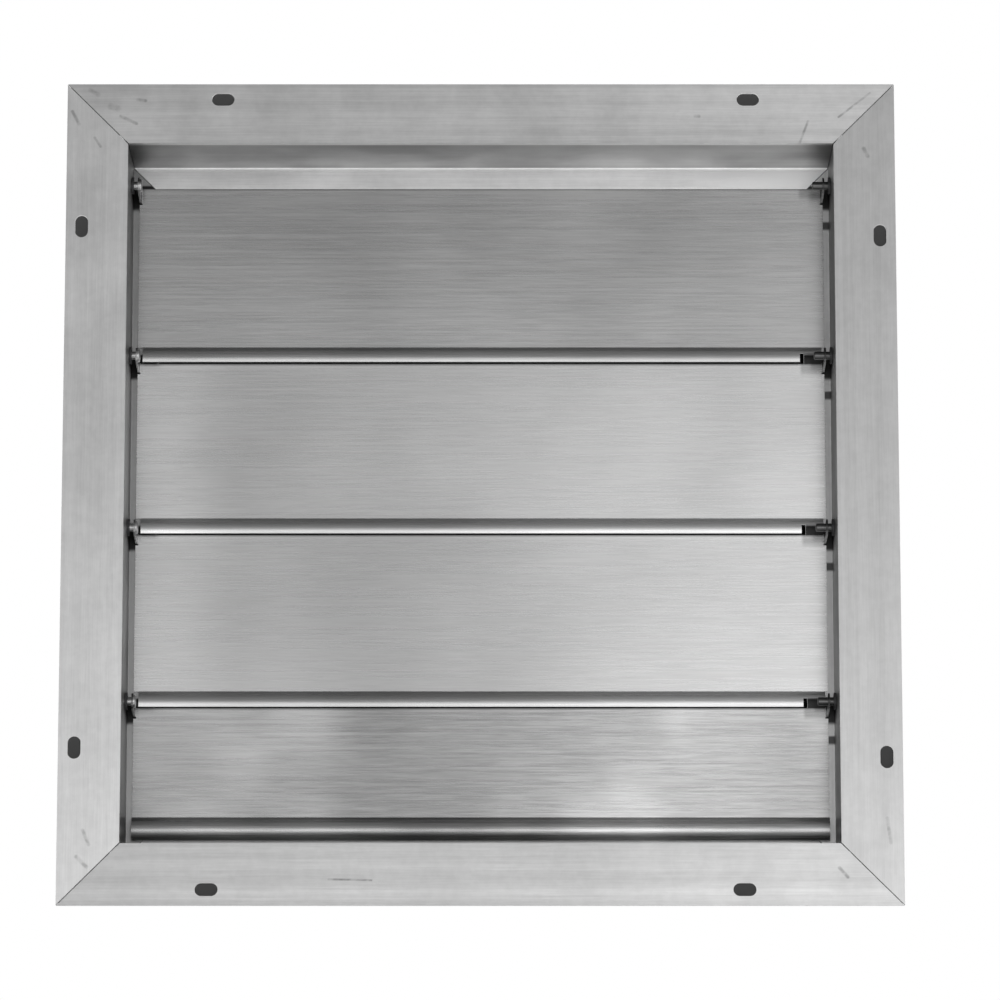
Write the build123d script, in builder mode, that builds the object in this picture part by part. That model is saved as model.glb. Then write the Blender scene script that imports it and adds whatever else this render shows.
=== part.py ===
"""Automatic gable vent: a mitred aluminium frame with four gravity blades on pivot pins.

Millimetres. X runs to the right and Z up as seen from outside, and Y runs back into the wall.
The origin is the centre of the vent on the plane where the flange meets the wall.
"""

import os
from math import sqrt

from build123d import *

# Frame
frame_size = 406.4
frame_depth = 50.8
rail_wall = 1.6
flange_width = 30.0
lip_width = 13.0
mitre_gap = 0.35

# Key channel on the outside of the sleeve, and the bent keys in it
channel_start = 8.0
channel_width = 14.0
channel_gap = 1.8
hook_wall = 0.9
hook_reach = 2.5
key_wall = 1.5
key_leg = 35.0
key_side_clearance = 0.2
key_bend_radius = 1.0

# Screw slots in the flange
slot_length = 11.1
slot_width = 6.35
slot_spacing = 258.0
slot_shift = 2.3
slot_edge_distance = 7.7

# Blades
blade_count = 4
blade_pitch = 86.4
first_axis_below_wall = 12.7
blade_wall = 0.8
blade_end_gap = 3.0
lip_gap = 0.5
axis_to_face = 13.5
head_lap = 1.8
face_below_axis = 1.2
bead_radius = 6.5
bead_tuck = 2.0
bead_overlap = 1.4
last_bead_tuck = 5.2
last_bead_above_wall = 7.6

# Ears at the blade's top corners
ear_radius = 4.0
ear_root_below_axis = 5.6
ear_bend_radius = 0.6
ear_relief = 0.8

# Pivot pins and bushings
pin_radius = 2.0
pin_stub = 5.0
pin_chamfer = 0.4
pin_past_bushing = 1.2
rivet_head_radius = 3.3
rivet_head_height = 1.2
rivet_head_round = 0.9
ear_hole_clearance = 0.03
running_clearance = 0.05
bushing_barrel_radius = 3.0
bushing_flange_radius = 4.2
bushing_flange_wall = 1.0
bushing_past_wall = 0.8
bushing_seat_clearance = 0.05

# Room that the bead leaves for the blade below
swing_clearance = 0.5
end_clearance = 0.8
notch_past_stub = 6.6

# Places that follow from the sizes above
half_frame = frame_size / 2
half_opening = half_frame - flange_width
sleeve_outside = half_opening + rail_wall
channel_outside = sleeve_outside + channel_gap
hook_outside = channel_outside + hook_wall
flange_front = -rail_wall
rear_plane = flange_front + frame_depth
lip_front = rear_plane - rail_wall
face_back = lip_front - lip_gap
face_front = face_back - blade_wall
axis_y = face_front - axis_to_face
first_axis_z = half_opening - first_axis_below_wall
half_blade = half_opening - blade_end_gap
ear_inside = half_blade - blade_wall
ear_bend_outside = ear_bend_radius + blade_wall
bushing_outside = sleeve_outside + bushing_past_wall
pin_outside = bushing_outside + pin_past_bushing

# Each side's run along the rail, clockwise from outside, and its way out from the centre
sides = {
    "top": (Vector(1, 0, 0), Vector(0, 0, 1)),
    "right": (Vector(0, 0, -1), Vector(1, 0, 0)),
    "bottom": (Vector(-1, 0, 0), Vector(0, 0, -1)),
    "left": (Vector(0, 0, 1), Vector(-1, 0, 0)),
}


def axis_height(index):
    """Height of the pivot axis of one blade, counted from the top."""
    return first_axis_z - index * blade_pitch


def face_top_height(index):
    """Height of one blade's top edge: the first laps the head lip, the others stop behind a bead."""
    lap = head_lap if index == 0 else -face_below_axis
    return axis_height(index) + lap


def save(part, name):
    """Label one finished piece and write its STEP file."""
    part.label = name
    export_step(part, f"parts/{name}.step")


def cut_between(low, high):
    """Cut the box between two corners out of the part being built."""
    size = high - low
    with Locations((low + high) / 2):
        Box(size.X, size.Y, size.Z, mode=Mode.SUBTRACT)


def swing_height(axis_z, reach, depth):
    """Lowest height, at one depth behind the axis, that stays within a reach of the axis."""
    return axis_z - sqrt(reach**2 - depth**2)


def rail_section():
    """Corners of the rail's section: distance from the vent's centre, then depth."""
    hook_low = channel_start - hook_wall
    hook_high = channel_start + channel_width + hook_wall
    return [
        (half_opening, flange_front),
        (half_frame, flange_front),
        (half_frame, 0),
        (sleeve_outside, 0),
        (sleeve_outside, hook_low),
        (hook_outside, hook_low),
        (hook_outside, channel_start + hook_reach),
        (channel_outside, channel_start + hook_reach),
        (channel_outside, channel_start),
        (sleeve_outside, channel_start),
        (sleeve_outside, channel_start + channel_width),
        (channel_outside, channel_start + channel_width),
        (channel_outside, channel_start + channel_width - hook_reach),
        (hook_outside, channel_start + channel_width - hook_reach),
        (hook_outside, hook_high),
        (sleeve_outside, hook_high),
        (sleeve_outside, rear_plane),
        (half_opening - lip_width, rear_plane),
        (half_opening - lip_width, lip_front),
        (half_opening, lip_front),
    ]


def make_rail(side):
    """One mitred frame rail with its two screw slots, and pivot holes on the upright rails."""
    along, outward = sides[side]
    with BuildPart() as rail:
        with BuildSketch(Plane(origin=(0, 0, 0), x_dir=outward, z_dir=-along)):
            with BuildLine():
                Polyline(*rail_section(), close=True)
            make_face()
        extrude(amount=half_frame, both=True)
        for end in (along, -along):
            mitre_normal = (end - outward).normalized()
            mitre_origin = mitre_normal * (-mitre_gap / 2)
            split(bisect_by=Plane(origin=mitre_origin, z_dir=mitre_normal), keep=Keep.BOTTOM)
        slot_origin = outward * (half_frame - slot_edge_distance)
        with BuildSketch(Plane(origin=slot_origin, x_dir=along, z_dir=(0, -1, 0))):
            with Locations((slot_shift, 0)):
                with GridLocations(slot_spacing, 0, 2, 1):
                    SlotOverall(slot_length, slot_width)
        extrude(amount=2 * rail_wall, both=True, mode=Mode.SUBTRACT)
        if side in ("left", "right"):
            with BuildSketch(Plane(origin=outward * half_opening, x_dir=(0, 1, 0), z_dir=(1, 0, 0))):
                for index in range(blade_count):
                    with Locations((axis_y, axis_height(index))):
                        Circle(bushing_barrel_radius + bushing_seat_clearance)
            extrude(amount=2 * rail_wall, both=True, mode=Mode.SUBTRACT)
    return rail.part


def make_corner_key(x_way, z_way):
    """A strip bent round one corner of the sleeve, held in the key channels of two rails."""
    seat = sleeve_outside + (channel_gap - key_wall) / 2
    key_width = channel_width - 2 * key_side_clearance
    plane_y = channel_start + key_side_clearance
    corner = seat + key_wall
    outline = [
        (x_way * corner, z_way * corner),
        (x_way * (seat - key_leg), z_way * corner),
        (x_way * (seat - key_leg), z_way * seat),
        (x_way * seat, z_way * seat),
        (x_way * seat, z_way * (seat - key_leg)),
        (x_way * corner, z_way * (seat - key_leg)),
    ]
    with BuildPart() as key:
        with BuildSketch(Plane(origin=(0, plane_y, 0), x_dir=(1, 0, 0), z_dir=(0, -1, 0))) as strip:
            with BuildLine():
                Polyline(*outline, close=True)
            make_face()
            bend = strip.vertices().sort_by_distance((x_way * corner, z_way * corner, 0))[0]
            fillet(bend, key_bend_radius)
        extrude(amount=-key_width)
    return key.part


def make_ear(way, axis_z, face_top):
    """The tab bent forward at one top corner of a blade, with the hole for its pivot pin."""
    bend_x = way * (half_blade - ear_bend_outside)
    bend_y = face_back - ear_bend_outside
    root_bottom = axis_z - ear_root_below_axis
    ear_top = max(axis_z + ear_radius, face_top)
    ear_bottom = min(axis_z - ear_radius, root_bottom)
    with BuildPart() as ear:
        with BuildSketch(Plane.XY.offset(ear_bottom)):
            with BuildLine():
                outer = RadiusArc((bend_x, face_back), (way * half_blade, bend_y), way * ear_bend_outside)
                outer_side = Line(outer @ 1, (way * half_blade, axis_y - ear_radius))
                front = Line(outer_side @ 1, (way * ear_inside, axis_y - ear_radius))
                inner_side = Line(front @ 1, (way * ear_inside, bend_y))
                inner = RadiusArc(inner_side @ 1, (bend_x, face_front), -way * ear_bend_radius)
                Line(inner @ 1, outer @ 0)
            make_face()
        extrude(amount=ear_top - ear_bottom)
        with BuildSketch(Plane.YZ.offset(way * half_blade)):
            with Locations((axis_y, axis_z)):
                Circle(ear_radius)
            with Locations((face_back - ear_bend_outside / 2, (face_top + root_bottom) / 2)):
                Rectangle(ear_bend_outside, face_top - root_bottom)
            make_hull()
        extrude(amount=2 * ear_bend_outside, both=True, mode=Mode.INTERSECT)
        with BuildSketch(Plane.YZ.offset(way * half_blade)):
            with Locations((axis_y, axis_z)):
                Circle(pin_radius + ear_hole_clearance)
        extrude(amount=2 * blade_wall, both=True, mode=Mode.SUBTRACT)
    return ear.part


def make_blade(index):
    """One folded blade: flat face, drip bead, ears, and the cuts that clear the blade below."""
    axis_z = axis_height(index)
    is_last = index == blade_count - 1
    face_top = face_top_height(index)
    tuck = last_bead_tuck if is_last else bead_tuck
    bead_bottom = axis_z - blade_pitch - bead_overlap
    if is_last:
        bead_bottom = last_bead_above_wall - half_opening
    bead_inner = bead_radius - blade_wall
    crease_z = bead_bottom + tuck + bead_radius
    outer_end_y = face_front - sqrt(bead_radius**2 - tuck**2)
    inner_end_y = face_front - sqrt(bead_inner**2 - tuck**2)
    with BuildPart() as blade:
        with BuildSketch(Plane.YZ.offset(-half_blade)):
            with BuildLine():
                face = Line((face_front, face_top), (face_front, crease_z))
                bead = RadiusArc(face @ 1, (outer_end_y, bead_bottom), -bead_radius)
                hem = Line(bead @ 1, (inner_end_y, bead_bottom))
                hollow = RadiusArc(hem @ 1, (face_front, crease_z - blade_wall), bead_inner)
                step = Line(hollow @ 1, (face_back, crease_z - blade_wall))
                back = Line(step @ 1, (face_back, face_top))
                Line(back @ 1, face @ 0)
            make_face()
        extrude(amount=2 * half_blade)
        for end_x in (-half_blade, half_blade - ear_bend_outside):
            relief_low = Vector(end_x, face_front - blade_wall, axis_z - ear_root_below_axis - ear_relief)
            cut_between(relief_low, Vector(end_x + ear_bend_outside, face_back + blade_wall, face_top))
        if not is_last:
            cut_low = bead_bottom - blade_wall
            cut_front = face_front - 2 * bead_radius
            cut_back = face_back + blade_wall
            pin_reach = blade_pitch - pin_radius - swing_clearance
            notch_top = swing_height(axis_z, pin_reach, axis_to_face - bead_inner)
            notch_start = ear_inside - pin_stub - notch_past_stub
            cut_between(Vector(notch_start, cut_front, cut_low), Vector(half_blade, cut_back, notch_top))
            ear_reach = blade_pitch - ear_radius - swing_clearance
            trim_top = max(crease_z, swing_height(axis_z, ear_reach, axis_to_face + blade_wall))
            right_trim = ear_inside - end_clearance
            left_trim = end_clearance + rivet_head_height - ear_inside
            cut_between(Vector(right_trim, cut_front, cut_low), Vector(half_blade, cut_back, trim_top))
            cut_between(Vector(-half_blade, cut_front, cut_low), Vector(left_trim, cut_back, trim_top))
        for way in (-1, 1):
            add(make_ear(way, axis_z, face_top))
    return blade.part


def make_right_pin(axis_z):
    """Plain pivot pin pressed through the right ear, with a stub on the inside."""
    start = ear_inside - pin_stub
    with BuildPart() as pin:
        with BuildSketch(Plane.YZ.offset(start)):
            with Locations((axis_y, axis_z)):
                Circle(pin_radius)
        extrude(amount=pin_outside - start)
        chamfer(pin.edges().filter_by(GeomType.CIRCLE), pin_chamfer)
    return pin.part


def make_left_pin(axis_z):
    """Pivot rivet in the left ear, with a low domed head on the inside."""
    with BuildPart() as pin:
        with BuildSketch(Plane.YZ.offset(-pin_outside)):
            with Locations((axis_y, axis_z)):
                Circle(pin_radius)
        extrude(amount=pin_outside - ear_inside)
        chamfer(pin.edges().filter_by(GeomType.CIRCLE).sort_by(Axis.X)[0], pin_chamfer)
        with BuildSketch(Plane.YZ.offset(-ear_inside)):
            with Locations((axis_y, axis_z)):
                Circle(rivet_head_radius)
        extrude(amount=rivet_head_height)
        fillet(pin.edges().filter_by(GeomType.CIRCLE).sort_by(Axis.X)[-1], rivet_head_round)
    return pin.part


def make_bushing(way, axis_z):
    """Flanged bushing in a side wall, with the flange on the inside of the sleeve."""
    flange_x = way * (half_opening - bushing_flange_wall)
    flange_plane = Plane(origin=(flange_x, axis_y, axis_z), x_dir=(0, 1, 0), z_dir=(way, 0, 0))
    barrel_length = bushing_flange_wall + rail_wall + bushing_past_wall
    with BuildPart() as bushing:
        with BuildSketch(flange_plane):
            Circle(bushing_flange_radius)
        extrude(amount=bushing_flange_wall)
        with BuildSketch(flange_plane):
            Circle(bushing_barrel_radius)
        extrude(amount=barrel_length)
        with BuildSketch(flange_plane):
            Circle(pin_radius + running_clearance)
        extrude(amount=barrel_length, mode=Mode.SUBTRACT)
    return bushing.part


os.makedirs("parts", exist_ok=True)

for side in sides:
    save(make_rail(side), f"frame_{side}")

key_corners = [(-1, 1), (1, 1), (1, -1), (-1, -1)]
for number, (x_way, z_way) in enumerate(key_corners, start=1):
    save(make_corner_key(x_way, z_way), f"corner_key_{number}")

for index in range(blade_count):
    number = index + 1
    axis_z = axis_height(index)
    save(make_blade(index), f"blade_{number}")
    save(make_left_pin(axis_z), f"pin_left_{number}")
    save(make_right_pin(axis_z), f"pin_right_{number}")
    save(make_bushing(-1, axis_z), f"bushing_left_{number}")
    save(make_bushing(1, axis_z), f"bushing_right_{number}")
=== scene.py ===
"""Looks of the gable vent: a mill-finish aluminium frame with four brushed gravity blades."""

import math

import bpy
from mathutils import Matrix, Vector


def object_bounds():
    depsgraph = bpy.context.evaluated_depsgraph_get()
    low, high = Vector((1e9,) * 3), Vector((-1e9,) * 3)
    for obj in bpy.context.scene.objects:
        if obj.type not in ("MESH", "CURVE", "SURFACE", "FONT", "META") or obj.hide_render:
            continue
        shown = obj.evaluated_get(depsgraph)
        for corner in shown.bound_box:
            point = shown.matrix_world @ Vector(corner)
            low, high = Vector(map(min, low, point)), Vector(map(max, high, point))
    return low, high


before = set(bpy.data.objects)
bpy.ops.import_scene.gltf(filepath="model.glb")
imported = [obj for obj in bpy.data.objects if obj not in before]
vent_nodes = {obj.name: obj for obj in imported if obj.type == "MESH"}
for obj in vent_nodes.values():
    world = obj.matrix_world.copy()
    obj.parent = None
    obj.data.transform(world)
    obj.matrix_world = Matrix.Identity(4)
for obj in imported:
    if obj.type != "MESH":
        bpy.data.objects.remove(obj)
cad_low, cad_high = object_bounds()

# Viewpoint: the vent is seen from a little below its centre
view_distance = 2.8
look_up = math.radians(11.3)
aim_point = Vector((0.009425, 0.0, -0.005106))
lens_mm = 207.7
sensor_mm = 36.0

# Sleeve, blades and pivots, in metres from the vent's centre
flange_width = 0.0300
sleeve_inside = cad_high[0] - flange_width
blade_half = sleeve_inside - 0.0030
first_axis_height = sleeve_inside - 0.0127
blade_pitch = 0.0864
head_lap = 0.0018
face_drop = 0.0012

# Stage sizes in metres, and the greys of the floor and of what shows behind the vent; the backing and attic
# greys are painted shade
floor_height = -1.0
floor_size = 24.0
floor_grey = 0.8
floor_white_share = 0.8
backing_gap = 0.0003
backing_inset = 0.0012
backing_inner = sleeve_inside + 0.0045
backing_shade_grey = 0.13
attic_half = sleeve_inside + 0.0014
attic_gap = 0.0004
attic_shade_grey = 0.006

# Soft box in front of the vent, below the line of view
soft_box_place = (0.10, -1.7, -0.34)
soft_box_aim = (0.10, 0.0, -0.34)
soft_box_width = 1.1
soft_box_height = 0.6
soft_box_brightness = 1.3

# Light of the room by height of view, from level to straight up
room_greys = [
    (0.0, 1.05),
    (0.12, 1.0),
    (0.19, 0.71),
    (0.245, 0.26),
    (0.45, 0.29),
    (0.75, 0.27),
    (1.0, 0.14),
]

# How that light changes to the rear, towards the window on the right, and past the window
rear_span = (-0.1, 0.5)
rear_shares = (1.0, 0.75)
window_span = (-0.12, 0.15)
window_shares = (0.62, 1.54)
past_window_span = (0.22, 0.50)
past_window_shares = (1.0, 0.56)

# Where the white backdrop starts to show in the metal, straight behind the vent
backdrop_span = (0.5, 0.9)

# Handling marks on the rails: start and end across and up the front, and width, in metres
rail_marks = {
    "top": [
        ((0.1564, 0.1730), (0.1608, 0.1845), 0.0009),
        ((0.1758, 0.1865), (0.1914, 0.1988), 0.0008),
        ((0.1054, 0.1870), (0.1073, 0.1870), 0.0012),
        ((-0.1921, 0.2003), (-0.1882, 0.1979), 0.0016),
        ((-0.1688, 0.1954), (-0.1649, 0.1949), 0.0012),
        ((-0.1819, 0.1919), (-0.1785, 0.1909), 0.0022),
        ((-0.1770, 0.1870), (-0.1692, 0.1832), 0.0012),
    ],
    "left": [
        ((-0.2008, 0.1894), (-0.1974, 0.1830), 0.0012),
        ((-0.1896, 0.1761), (-0.1867, 0.1716), 0.0010),
        ((-0.1908, -0.1668), (-0.1878, -0.1738), 0.0012),
        ((-0.1936, -0.1797), (-0.1888, -0.1846), 0.0014),
    ],
    "right": [
        ((0.1880, 0.1706), (0.1899, 0.1667), 0.0014),
        ((0.1952, -0.1610), (0.1968, -0.1730), 0.0012),
    ],
    "bottom": [
        ((-0.0726, -0.1906), (-0.0522, -0.1911), 0.0008),
        ((0.1720, -0.1850), (0.1760, -0.1895), 0.0012),
    ],
}
rub_strength = 0.36

# Where a rail's tone changes, in metres: by depth, by distance from the centre, and across the front
front_skin = (-0.0013, -0.0009)
# Painted shade: past these depths the inner wall and then the lip take their own tones
wall_start = (0.0004, 0.0030)
lip_start = (0.0452, 0.0474)
sleeve_wall = (sleeve_inside + 0.0004, sleeve_inside + 0.0012)
# Painted light: the right part of a rail is lighter
right_part = (0.02, 0.15)

# How a rail's plain tone is mixed with its grain, blotches and mottle
rail_tone = 0.88
rail_grain = 0.07
rail_blotches = 0.09
rail_mottle = 0.05
wall_patchiness = 0.25

# Painted shade on the lip round a pivot and a darker low spot below it, counted down from a line above the
# pivot, and their depth, in metres
pivot_shade_lead = 0.02
pivot_shade_top = (0.0155, 0.0170)
pivot_shade_end = (0.0270, 0.0305)
low_spot_top = (0.0340, 0.0355)
low_spot_end = (0.0380, 0.0400)
pivot_shade_front = (0.0425, 0.0455)
pivot_shade_back = (0.0480, 0.0485)
pivot_shaded_share = 0.07

# How strongly the lip of each side rail is darkened in a second spot below its pivots
low_spots = {"left": 0.0, "right": 0.8}

# Mitre cut: distance from its middle where the dark ends, in metres, and the tone left in it
seam_span = (0.00027, 0.00040)
seam_share = 0.06

# Where a blade's painted light and shade changes, in metres along it from the centre
middle_span = (-0.06, 0.12)
left_end_span = (-0.158, -0.115)
right_end_span = (0.115, 0.160)
# Painted reflection of the right pin on the blade's face
pin_reflection_along = (0.1575, 0.1595)
# Painted shade on the back of the right ear
ear_back_along = (blade_half - 0.0014, blade_half - 0.0010)

# Where the painted light and shade changes downwards, from the top edge or for the ear from the axis, and how
# strongly
upper_span = (0.0, 0.080)
# Painted shadow along the top edge
top_edge_span = (0.0003, 0.0010)
pin_reflection_down = (0.0030, 0.0070)
ear_back_down = (0.0022, 0.0034)
top_edge_share = 0.5
pin_reflection_strength = 0.34
ear_back_strength = 0.85

# The painted light and shade that each blade is given
painted_shade_names = ("Left", "Right", "Left End", "Right End", "Top")

# Finishes, as linear greys
brightest_metal = 0.96
rail_grey = (0.70, 0.70, 0.70)
blade_grey = (0.74, 0.74, 0.74)
key_grey = (0.62, 0.62, 0.61)
# Painted light: one steel, lighter on the left pins as a painted highlight and darker on the right as painted
# shade
pin_painted_greys = {"left": (0.55, 0.55, 0.55), "right": (0.14, 0.14, 0.14)}
nylon_grey = (0.075, 0.075, 0.078)

# Turns that lay the grain along a rail, and steps that give each rail and blade its own stretch of pattern
level = (0.0, 0.0, 0.0)
upright = (0.0, math.radians(90.0), 0.0)
unmoved = (0.0, 0.0, 0.0)
rail_step = (0.37, 0.0, 0.11)
blade_step = (0.53, 0.0, 0.29)

# Results of a mask that comes in or goes out over a span
rising = (0.0, 1.0)
falling = (1.0, 0.0)


def add_node(tree, kind, settings=None, inputs=None):
    """Add a node, set its own settings, and fill or link its inputs."""
    made = tree.nodes.new(kind)
    for name, value in (settings or {}).items():
        setattr(made, name, value)
    for name, value in (inputs or {}).items():
        if isinstance(value, bpy.types.NodeSocket):
            tree.links.new(value, made.inputs[name])
        else:
            made.inputs[name].default_value = value
    return made


def calc(tree, operation, first, second=0.0, clamp=False):
    """One math step on two values, as an output socket."""
    settings = {"operation": operation, "use_clamp": clamp}
    return add_node(tree, "ShaderNodeMath", settings, {0: first, 1: second}).outputs[0]


def calc_vector(tree, operation, first, second):
    """One step on two vectors, as a node."""
    return add_node(tree, "ShaderNodeVectorMath", {"operation": operation}, {0: first, 1: second})


def scale_vector(tree, vector, factor):
    """A vector or a grey times a value, as an output socket."""
    inputs = {0: vector, "Scale": factor}
    return add_node(tree, "ShaderNodeVectorMath", {"operation": "SCALE"}, inputs).outputs[0]


def remap(tree, value, span, results):
    """Turn a value's span into a span of results, smoothly and within its ends."""
    settings = {"interpolation_type": "SMOOTHSTEP"}
    inputs = {
        "Value": value,
        "From Min": span[0],
        "From Max": span[1],
        "To Min": results[0],
        "To Max": results[1],
    }
    return add_node(tree, "ShaderNodeMapRange", settings, inputs).outputs["Result"]


def spread(tree, mask, low, high):
    """Spread a mask from 0 to 1 over a range of values."""
    return remap(tree, mask, rising, (low, high))


def split(tree, vector):
    """The three parts of a vector: across, deep and up."""
    made = add_node(tree, "ShaderNodeSeparateXYZ", None, {0: vector})
    return made.outputs["X"], made.outputs["Y"], made.outputs["Z"]


def start_group(name, inputs, outputs):
    """An empty node group with its named sockets."""
    group = bpy.data.node_groups.new(name, "ShaderNodeTree")
    for label, kind, value in inputs:
        socket = group.interface.new_socket(label, in_out="INPUT", socket_type=kind)
        if value is not None:
            socket.default_value = value
    for label in outputs:
        group.interface.new_socket(label, in_out="OUTPUT", socket_type="NodeSocketFloat")
    entry = group.nodes.new("NodeGroupInput")
    leave = group.nodes.new("NodeGroupOutput")
    return group, entry, leave


def make_streak_group():
    """Long thin streaks along X, from 0 to 1, as brushing and dies leave them."""
    contrast = (0.25, 0.75)
    group, entry, leave = start_group(
        "streaks",
        [
            ("Vector", "NodeSocketVector", None),
            ("Along", "NodeSocketFloat", 20.0),
            ("Across", "NodeSocketFloat", 800.0),
            ("Detail", "NodeSocketFloat", 2.0),
        ],
        ["Streak"],
    )
    sides = {"X": entry.outputs["Along"], "Y": entry.outputs["Across"], "Z": entry.outputs["Across"]}
    stretch = add_node(group, "ShaderNodeCombineXYZ", None, sides)
    placed = calc_vector(group, "MULTIPLY", entry.outputs["Vector"], stretch.outputs[0])
    noise = add_node(
        group,
        "ShaderNodeTexNoise",
        None,
        {"Vector": placed.outputs[0], "Scale": 1.0, "Detail": entry.outputs["Detail"], "Roughness": 0.6},
    )
    group.links.new(remap(group, noise.outputs["Fac"], contrast, rising), leave.inputs["Streak"])
    return group


def make_cloud_group():
    """Soft blotches, from 0 to 1."""
    contrast = (0.3, 0.7)
    group, entry, leave = start_group(
        "clouds",
        [
            ("Vector", "NodeSocketVector", None),
            ("Scale", "NodeSocketFloat", 20.0),
            ("Detail", "NodeSocketFloat", 3.0),
        ],
        ["Cloud"],
    )
    inputs = {label: entry.outputs[label] for label in ("Vector", "Scale", "Detail")}
    noise = add_node(group, "ShaderNodeTexNoise", None, {**inputs, "Roughness": 0.55})
    group.links.new(remap(group, noise.outputs["Fac"], contrast, rising), leave.inputs["Cloud"])
    return group


def make_rub_group():
    """A rubbed mark along a line on the front, from 0 to 1, soft at its edges."""
    core_share = 0.2
    group, entry, leave = start_group(
        "rub mark",
        [
            ("Vector", "NodeSocketVector", None),
            ("Start", "NodeSocketVector", None),
            ("Run", "NodeSocketVector", None),
            ("Width", "NodeSocketFloat", 0.001),
        ],
        ["Mark"],
    )
    run = entry.outputs["Run"]
    width = entry.outputs["Width"]
    on_front = calc_vector(group, "MULTIPLY", entry.outputs["Vector"], (1.0, 0.0, 1.0))
    from_start = calc_vector(group, "SUBTRACT", on_front.outputs[0], entry.outputs["Start"])
    along = calc_vector(group, "DOT_PRODUCT", from_start.outputs[0], run)
    whole = calc_vector(group, "DOT_PRODUCT", run, run)
    share = calc(group, "DIVIDE", along.outputs["Value"], whole.outputs["Value"], clamp=True)
    apart = calc_vector(group, "DISTANCE", from_start.outputs[0], scale_vector(group, run, share))
    core = calc(group, "MULTIPLY", width, core_share)
    mark = remap(group, apart.outputs["Value"], (core, width), falling)
    group.links.new(mark, leave.inputs["Mark"])
    return group


def make_pivot_shade_group():
    """Painted shade on the sleeve's lip round each pivot, and a darker low spot under it, from 0 to 1."""
    group, entry, leave = start_group(
        "pivot shade and spot",
        [("Vector", "NodeSocketVector", None), ("Low Spot", "NodeSocketFloat", 0.0)],
        ["Grime"],
    )
    _, depth, up = split(group, entry.outputs["Vector"])
    below = calc(group, "SUBTRACT", first_axis_height + pivot_shade_lead, up)
    below = calc(group, "MODULO", below, blade_pitch)
    shade_patch_top = remap(group, below, pivot_shade_top, rising)
    shade_patch_end = remap(group, below, pivot_shade_end, falling)
    spot_top = remap(group, below, low_spot_top, (0.0, entry.outputs["Low Spot"]))
    spot_end = remap(group, below, low_spot_end, falling)
    shade_patch = calc(group, "MULTIPLY", shade_patch_top, shade_patch_end)
    low_spot = calc(group, "MULTIPLY", spot_top, spot_end)
    front = remap(group, depth, pivot_shade_front, rising)
    back = remap(group, depth, pivot_shade_back, falling)
    on_lip = calc(group, "MULTIPLY", front, back)
    shade_and_spot = calc(group, "MULTIPLY", on_lip, calc(group, "MAXIMUM", shade_patch, low_spot))
    group.links.new(shade_and_spot, leave.inputs["Grime"])
    return group


def make_seam_group():
    """The mitre cuts at the corners of the frame, dark in their gap: 1 away from the cut."""
    group, entry, leave = start_group("mitre seam", [("Vector", "NodeSocketVector", None)], ["Clear"])
    across, _, up = split(group, entry.outputs["Vector"])
    apart = calc(group, "SUBTRACT", calc(group, "ABSOLUTE", across), calc(group, "ABSOLUTE", up))
    clear = remap(group, calc(group, "ABSOLUTE", apart), seam_span, (seam_share, 1.0))
    group.links.new(clear, leave.inputs["Clear"])
    return group


def make_blade_light_group():
    """Painted light and shade on a blade: its tone changes from end to end and from its top edge down."""
    places = [
        ("Vector", "NodeSocketVector", None),
        ("Axis", "NodeSocketFloat", 0.0),
        ("Face Rise", "NodeSocketFloat", 0.0),
    ]
    painted_shades = [(name, "NodeSocketFloat", 1.0) for name in painted_shade_names]
    group, entry, leave = start_group("blade painted light", places + painted_shades, ["Shade"])
    along, _, up = split(group, entry.outputs["Vector"])
    below_axis = calc(group, "SUBTRACT", entry.outputs["Axis"], up)
    below_top = calc(group, "ADD", below_axis, entry.outputs["Face Rise"])
    # Painted light and shade across the blade, at its ends and below its top
    shade = remap(group, along, middle_span, (entry.outputs["Left"], entry.outputs["Right"]))
    left_end = remap(group, along, left_end_span, (entry.outputs["Left End"], 1.0))
    right_end = remap(group, along, right_end_span, (1.0, entry.outputs["Right End"]))
    upper = remap(group, below_top, upper_span, (entry.outputs["Top"], 1.0))
    # Painted shadow along the top edge
    top_edge = remap(group, below_top, top_edge_span, (top_edge_share, 1.0))
    # Painted reflection of the right pin on the face
    pin_reflection = calc(
        group,
        "MULTIPLY",
        remap(group, along, pin_reflection_along, rising),
        remap(group, below_top, pin_reflection_down, (pin_reflection_strength, 0.0)),
    )
    # Painted shade on the back of the right ear
    ear_back = calc(
        group,
        "MULTIPLY",
        remap(group, along, ear_back_along, rising),
        remap(group, below_axis, ear_back_down, (ear_back_strength, 0.0)),
    )
    unshaded = calc(group, "SUBTRACT", 1.0, calc(group, "MAXIMUM", pin_reflection, ear_back))
    for part in (left_end, right_end, upper, top_edge, unshaded):
        shade = calc(group, "MULTIPLY", shade, part)
    group.links.new(shade, leave.inputs["Shade"])
    return group


streak_group = make_streak_group()
cloud_group = make_cloud_group()
rub_group = make_rub_group()
pivot_shade_group = make_pivot_shade_group()
seam_group = make_seam_group()
blade_light_group = make_blade_light_group()


def place_group(tree, group, place, values):
    """Put a node group in a material with its own values, and give its first output."""
    made = add_node(tree, "ShaderNodeGroup", {"node_tree": group})
    tree.links.new(place, made.inputs["Vector"])
    for name, value in values.items():
        made.inputs[name].default_value = value
    return made.outputs[0]


def streaks(tree, place, along, across, detail=2.0):
    """Streaks along the grain with so many waves to the metre along and across."""
    return place_group(tree, streak_group, place, {"Along": along, "Across": across, "Detail": detail})


def clouds(tree, place, scale, detail=3.0):
    """Soft blotches of one size."""
    return place_group(tree, cloud_group, place, {"Scale": scale, "Detail": detail})


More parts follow.
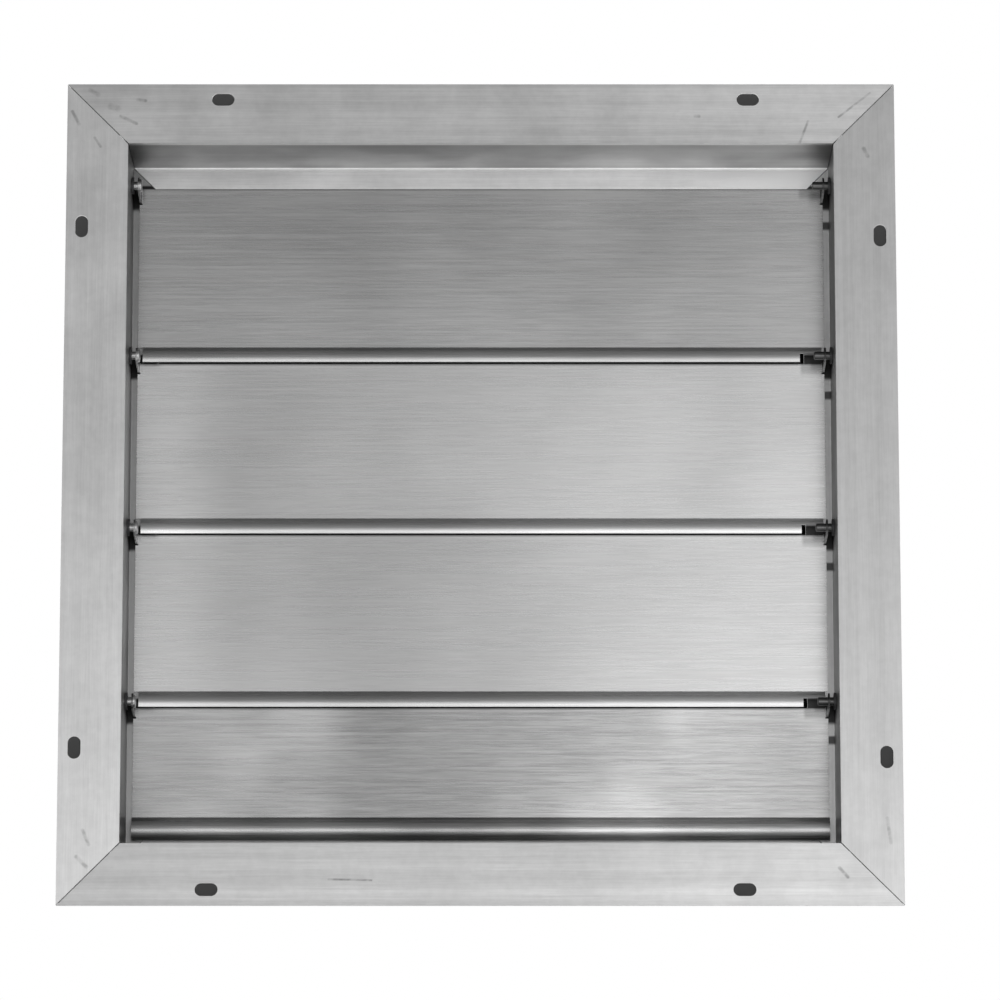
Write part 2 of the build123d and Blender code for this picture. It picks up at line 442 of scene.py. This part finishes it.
def rubs(tree, spot, marks):
    """All the rubbed marks on the front of one rail, broken up a little."""
    total = None
    for start, end, width in marks:
        values = {
            "Start": (start[0], 0.0, start[1]),
            "Run": (end[0] - start[0], 0.0, end[1] - start[1]),
            "Width": width,
        }
        mark = place_group(tree, rub_group, spot, values)
        total = mark if total is None else calc(tree, "MAXIMUM", total, mark)
    return calc(tree, "MULTIPLY", total, spread(tree, clouds(tree, spot, scale=260.0), 0.35, 1.0))


def add_marks(tree, tone, marks):
    """A tone with patterns added to it, each at its own strength."""
    for pattern, strength in marks:
        tone = calc(tree, "ADD", tone, calc(tree, "MULTIPLY", pattern, strength))
    return tone


def empty_material(name):
    """A material with nothing in it, its nodes, and the input that its surface goes to."""
    material = bpy.data.materials.new(name)
    material.use_nodes = True
    tree = material.node_tree
    tree.nodes.clear()
    output = add_node(tree, "ShaderNodeOutputMaterial")
    return material, tree, output.inputs["Surface"]


def start_finish(name, turn=level, shift=unmoved):
    """A plain finish with its shader, the place with X along the grain, and the place on the vent."""
    material, tree, surface = empty_material(name)
    shader = add_node(tree, "ShaderNodeBsdfPrincipled")
    tree.links.new(shader.outputs[0], surface)
    spot = add_node(tree, "ShaderNodeTexCoord").outputs["Object"]
    inputs = {"Vector": spot, "Rotation": turn, "Location": shift}
    place = add_node(tree, "ShaderNodeMapping", None, inputs).outputs[0]
    return material, tree, shader, place, spot


def pattern_shift(step, number):
    """How far the pattern is moved on the piece with this number."""
    return tuple(number * part for part in step)


def rail_finish(side, turn, shift, line_depth, flange, wall, lip, right_painted_light):
    """Mill-finish extrusion: die lines along the rail, fine grain, soft blotches and rubbed marks, with
    painted light and shade.
    """
    material, tree, shader, place, spot = start_finish(f"rail {side}", turn, shift)
    grain = streaks(tree, place, along=45.0, across=1300.0)
    die_lines = streaks(tree, place, along=1.2, across=240.0, detail=3.0)
    blotches = clouds(tree, place, scale=26.0, detail=5.0)
    mottle = clouds(tree, place, scale=240.0)
    marks = [(grain, rail_grain), (die_lines, line_depth), (blotches, rail_blotches), (mottle, rail_mottle)]
    tone = add_marks(tree, rail_tone - line_depth, marks)
    across, depth, up = split(tree, spot)
    on_front = remap(tree, depth, front_skin, (rub_strength, 0.0))
    rubbed = calc(tree, "MULTIPLY", rubs(tree, spot, rail_marks[side]), on_front)
    tone = calc(tree, "SUBTRACT", tone, rubbed)
    patches = clouds(tree, spot, scale=16.0, detail=2.0)
    # Painted light and shade: the flange, the inner wall and the lip each take a tone set per side
    patchy_wall = spread(tree, patches, (1.0 - wall_patchiness) * wall, (1.0 + wall_patchiness) * wall)
    flange_and_wall = remap(tree, depth, wall_start, (flange, patchy_wall))
    inside = remap(tree, depth, lip_start, (flange_and_wall, lip))
    # Painted shade on the lip round each pivot, and a darker low spot below it on the sides that have one
    if side in low_spots:
        shade_and_spot = place_group(tree, pivot_shade_group, spot, {"Low Spot": low_spots[side]})
        inside = calc(tree, "MULTIPLY", inside, spread(tree, shade_and_spot, 1.0, pivot_shaded_share))
    reach = calc(tree, "MAXIMUM", calc(tree, "ABSOLUTE", across), calc(tree, "ABSOLUTE", up))
    part_tone = remap(tree, reach, sleeve_wall, (inside, flange))
    clear_of_seam = place_group(tree, seam_group, spot, {})
    # Painted light: lighter towards the right
    lift = remap(tree, across, right_part, (1.0, right_painted_light))
    for share in (part_tone, clear_of_seam, lift):
        tone = calc(tree, "MULTIPLY", tone, share)
    tone = calc(tree, "MINIMUM", tone, brightest_metal / rail_grey[0])
    tree.links.new(scale_vector(tree, rail_grey, tone), shader.inputs["Base Color"])
    shader.inputs["Metallic"].default_value = 1.0
    tree.links.new(spread(tree, blotches, 0.34, 0.42), shader.inputs["Roughness"])
    height = calc(tree, "ADD", calc(tree, "MULTIPLY", grain, 0.4), die_lines)
    bump = add_node(tree, "ShaderNodeBump", None, {"Strength": 0.16, "Distance": 0.00006, "Height": height})
    tree.links.new(bump.outputs[0], shader.inputs["Normal"])
    return material


def blade_finish(number, shift, tones, grain_mark, coarse_mark, painted_shades):
    """Brushed sheet: fine grain along the blade, soft zones, painted light and shade, and a slight wave in
    the sheet.
    """
    material, tree, shader, place, spot = start_finish(f"blade sheet {number}", level, shift)
    grain = streaks(tree, place, along=60.0, across=1500.0)
    coarse = streaks(tree, place, along=8.0, across=900.0, detail=3.0)
    zones = clouds(tree, place, scale=9.0, detail=2.0)
    tone = spread(tree, zones, *tones)
    tone = add_marks(tree, tone, [(grain, grain_mark), (coarse, coarse_mark)])
    values = dict(zip(painted_shade_names, painted_shades))
    values["Axis"] = first_axis_height - (number - 1) * blade_pitch
    values["Face Rise"] = head_lap if number == 1 else -face_drop
    tone = calc(tree, "MULTIPLY", tone, place_group(tree, blade_light_group, spot, values))
    tree.links.new(scale_vector(tree, blade_grey, tone), shader.inputs["Base Color"])
    shader.inputs["Metallic"].default_value = 1.0
    shader.inputs["Anisotropic"].default_value = 0.8
    tangent = add_node(tree, "ShaderNodeTangent", {"direction_type": "RADIAL", "axis": "X"})
    tree.links.new(tangent.outputs[0], shader.inputs["Tangent"])
    tree.links.new(spread(tree, coarse, 0.26, 0.31), shader.inputs["Roughness"])
    wave = clouds(tree, place, scale=7.0, detail=1.0)
    sheet = add_node(tree, "ShaderNodeBump", None, {"Strength": 1.0, "Distance": 0.0006, "Height": wave})
    brushing = {"Strength": 0.08, "Distance": 0.00006, "Height": grain, "Normal": sheet.outputs[0]}
    bump = add_node(tree, "ShaderNodeBump", None, brushing)
    tree.links.new(bump.outputs[0], shader.inputs["Normal"])
    return material


def key_finish():
    """Cut strip in the corner channels, with plain mill marks."""
    material, tree, shader, place, _ = start_finish("key strip")
    marks = clouds(tree, place, scale=220.0, detail=4.0)
    tone = spread(tree, marks, 0.85, 1.0)
    tree.links.new(scale_vector(tree, key_grey, tone), shader.inputs["Base Color"])
    shader.inputs["Metallic"].default_value = 1.0
    tree.links.new(spread(tree, marks, 0.4, 0.5), shader.inputs["Roughness"])
    return material


def pin_finish(way):
    """Drawn steel with fine lines along the pin, lighter on the left as a painted highlight and darker on the
    right as painted shade.
    """
    material, tree, shader, place, _ = start_finish(f"pin steel {way}")
    lines = streaks(tree, place, along=60.0, across=2400.0)
    tone = spread(tree, lines, 0.8, 1.1)
    tree.links.new(scale_vector(tree, pin_painted_greys[way], tone), shader.inputs["Base Color"])
    shader.inputs["Metallic"].default_value = 1.0
    tree.links.new(spread(tree, lines, 0.28, 0.36), shader.inputs["Roughness"])
    return material


def nylon_finish():
    """Dark moulded nylon with a faint grain."""
    material, tree, shader, place, _ = start_finish("bushing nylon")
    grain = clouds(tree, place, scale=1800.0, detail=2.0)
    tone = spread(tree, grain, 0.8, 1.2)
    tree.links.new(scale_vector(tree, nylon_grey, tone), shader.inputs["Base Color"])
    tree.links.new(spread(tree, grain, 0.45, 0.6), shader.inputs["Roughness"])
    return material


def dress(name, material):
    """Give one piece its finish."""
    piece = vent_nodes[name]
    piece.data.materials.clear()
    piece.data.materials.append(material)


# Rails: turn of the grain, depth of the die lines, tones of flange, wall and lip as painted light and shade,
# and painted lift to the right
rails = [
    dict(side="top", turn=level, line_depth=0.16, flange=1.07, wall=0.36, lip=1.36, right_painted_light=1.18),
    dict(side="right", turn=upright, line_depth=0.09, flange=0.92, wall=0.20, lip=1.10, right_painted_light=1.0),
    dict(side="bottom", turn=level, line_depth=0.16, flange=0.87, wall=0.50, lip=0.80, right_painted_light=1.18),
    dict(side="left", turn=upright, line_depth=0.09, flange=1.12, wall=0.16, lip=0.58, right_painted_light=1.0),
]
for number, rail in enumerate(rails):
    dress(f"frame_{rail['side']}", rail_finish(shift=pattern_shift(rail_step, number), **rail))

# Blades from the top: lowest and highest tone, set per blade as painted light, strength of the marks, and
# painted shades in the order of their names
blades = [
    dict(tones=(0.50, 0.57), grain_mark=0.09, coarse_mark=0.05, painted_shades=(1.0, 1.03, 1.02, 1.0, 0.88)),
    dict(tones=(0.86, 0.95), grain_mark=0.09, coarse_mark=0.0, painted_shades=(0.76, 0.97, 1.30, 0.98, 0.96)),
    dict(tones=(0.86, 0.95), grain_mark=0.09, coarse_mark=0.0, painted_shades=(0.70, 0.96, 1.20, 1.0, 0.98)),
    dict(tones=(0.42, 0.80), grain_mark=0.16, coarse_mark=0.14, painted_shades=(0.72, 1.22, 0.90, 0.86, 1.0)),
]
for number, blade in enumerate(blades, start=1):
    dress(f"blade_{number}", blade_finish(number, pattern_shift(blade_step, number), **blade))

key_strip = key_finish()
pin_steel = {way: pin_finish(way) for way in pin_painted_greys}
bushing_nylon = nylon_finish()
for number in range(1, len(rails) + 1):
    dress(f"corner_key_{number}", key_strip)
for number in range(1, len(blades) + 1):
    for way in pin_painted_greys:
        dress(f"pin_{way}_{number}", pin_steel[way])
        dress(f"bushing_{way}_{number}", bushing_nylon)


def make_floor():
    """Pale floor well below the vent, which keeps a faint shadow."""
    bpy.ops.object.select_all(action="DESELECT")
    bpy.ops.mesh.primitive_plane_add(size=floor_size, location=(0.0, 0.0, floor_height))
    floor = bpy.context.object
    floor.name = "floor"
    bpy.ops.object.transform_apply(location=True, rotation=True, scale=True)
    material, tree, surface = empty_material("pale floor")
    matt = add_node(tree, "ShaderNodeBsdfDiffuse", None, {"Color": (floor_grey, floor_grey, floor_grey, 1.0)})
    white = add_node(tree, "ShaderNodeEmission", None, {"Strength": 1.0})
    path = add_node(tree, "ShaderNodeLightPath")
    seen = calc(tree, "MAXIMUM", path.outputs["Is Camera Ray"], path.outputs["Is Transmission Ray"])
    seen = calc(tree, "MAXIMUM", seen, path.outputs["Is Glossy Ray"])
    share = calc(tree, "MULTIPLY", seen, floor_white_share)
    mix = add_node(tree, "ShaderNodeMixShader", None, {0: share, 1: matt.outputs[0], 2: white.outputs[0]})
    tree.links.new(mix.outputs[0], surface)
    floor.data.materials.append(material)


def front_only_finish(name, grey):
    """Matt grey that shows from the front and is clear from behind."""
    material, tree, surface = empty_material(name)
    shade = add_node(tree, "ShaderNodeBsdfDiffuse", None, {"Color": (grey, grey, grey, 1.0)})
    clear = add_node(tree, "ShaderNodeBsdfTransparent")
    back = add_node(tree, "ShaderNodeNewGeometry").outputs["Backfacing"]
    mix = add_node(tree, "ShaderNodeMixShader", None, {0: back, 1: shade.outputs[0], 2: clear.outputs[0]})
    tree.links.new(mix.outputs[0], surface)
    return material


def make_upright_sheet(name, half_size, depth):
    """A flat square sheet that faces the front, at a depth behind the flange."""
    bpy.ops.object.select_all(action="DESELECT")
    bpy.ops.mesh.primitive_plane_add(
        size=2.0 * half_size,
        location=(0.0, depth, 0.0),
        rotation=(math.radians(90.0), 0.0, 0.0),
    )
    sheet = bpy.context.object
    sheet.name = name
    bpy.ops.object.transform_apply(location=True, rotation=True, scale=True)
    sheet.visible_diffuse = False
    sheet.visible_glossy = False
    sheet.visible_shadow = False
    return sheet


def make_attic():
    """Near-black sheet behind the vent, painted shade of the dark attic, seen from the front through the gaps
    of the blades.
    """
    attic = make_upright_sheet("attic", attic_half, cad_high[1] + attic_gap)
    attic.data.materials.append(front_only_finish("attic in the dark", attic_shade_grey))


def make_wall_backing():
    """Strip of wall right behind the flange, painted dark grey as painted shade, seen from the front through
    the screw slots.
    """
    outer = cad_high[0] - backing_inset
    backing = make_upright_sheet("wall_backing", outer, backing_gap)
    bpy.ops.object.mode_set(mode="EDIT")
    bpy.ops.mesh.select_all(action="SELECT")
    bpy.ops.mesh.inset(thickness=outer - backing_inner)
    bpy.ops.mesh.delete(type="FACE")
    bpy.ops.object.mode_set(mode="OBJECT")
    backing.data.materials.append(front_only_finish("wall in shade", backing_shade_grey))


def make_soft_box():
    """A soft box of even brightness, turned to face its point."""
    data = bpy.data.lights.new("front soft box", "AREA")
    data.shape = "RECTANGLE"
    data.size = soft_box_width
    data.size_y = soft_box_height
    data.energy = soft_box_brightness * math.pi * soft_box_width * soft_box_height
    lamp = bpy.data.objects.new("front soft box", data)
    lamp.location = soft_box_place
    lamp.rotation_euler = (Vector(soft_box_aim) - Vector(soft_box_place)).to_track_quat("-Z", "Y").to_euler()
    lamp.visible_camera = False
    bpy.context.scene.collection.objects.link(lamp)


def make_room():
    """White behind the vent; a dim room in front, lighter towards the horizon and towards a window."""
    world = bpy.data.worlds.new("studio")
    bpy.context.scene.world = world
    world.use_nodes = True
    tree = world.node_tree
    tree.nodes.clear()
    output = add_node(tree, "ShaderNodeOutputWorld")
    direction = add_node(tree, "ShaderNodeTexCoord").outputs["Generated"]
    across, depth, height = split(tree, direction)
    ramp = add_node(tree, "ShaderNodeValToRGB", None, {"Fac": height})
    ramp.color_ramp.interpolation = "EASE"
    stops = ramp.color_ramp.elements
    for place, _ in room_greys[1:-1]:
        stops.new(place)
    for stop, (place, grey) in zip(stops, room_greys):
        stop.position = place
        stop.color = (grey, grey, grey, 1.0)
    rear = remap(tree, depth, rear_span, rear_shares)
    window = remap(tree, across, window_span, window_shares)
    past_window = remap(tree, across, past_window_span, past_window_shares)
    share = calc(tree, "MULTIPLY", calc(tree, "MULTIPLY", rear, window), past_window)
    light = calc(tree, "MULTIPLY", ramp.outputs["Color"], share)
    plain_white = (1.0, 1.0, 1.0, 1.0)
    room = add_node(tree, "ShaderNodeBackground", None, {"Color": plain_white, "Strength": light})
    white = add_node(tree, "ShaderNodeBackground", None, {"Color": plain_white, "Strength": 1.0})
    path = add_node(tree, "ShaderNodeLightPath")
    behind = remap(tree, depth, backdrop_span, rising)
    mirrored = calc(tree, "MULTIPLY", path.outputs["Is Glossy Ray"], behind)
    seen = calc(tree, "MAXIMUM", path.outputs["Is Camera Ray"], path.outputs["Is Transmission Ray"])
    seen = calc(tree, "MAXIMUM", seen, mirrored)
    mix = add_node(tree, "ShaderNodeMixShader", None, {0: seen, 1: room.outputs[0], 2: white.outputs[0]})
    tree.links.new(mix.outputs[0], output.inputs["Surface"])


def make_camera():
    """The photographer's place, below the vent's centre and square to it."""
    data = bpy.data.cameras.new("camera")
    data.lens = lens_mm
    data.sensor_width = sensor_mm
    camera = bpy.data.objects.new("camera", data)
    back = Vector((0.0, -math.cos(look_up), -math.sin(look_up)))
    camera.location = aim_point + view_distance * back
    camera.rotation_euler = (math.radians(90.0) + look_up, 0.0, 0.0)
    bpy.context.scene.collection.objects.link(camera)
    bpy.context.scene.camera = camera


make_floor()
make_wall_backing()
make_attic()
make_soft_box()
make_room()
make_camera()

scene = bpy.context.scene
scene.view_settings.view_transform = "Standard"
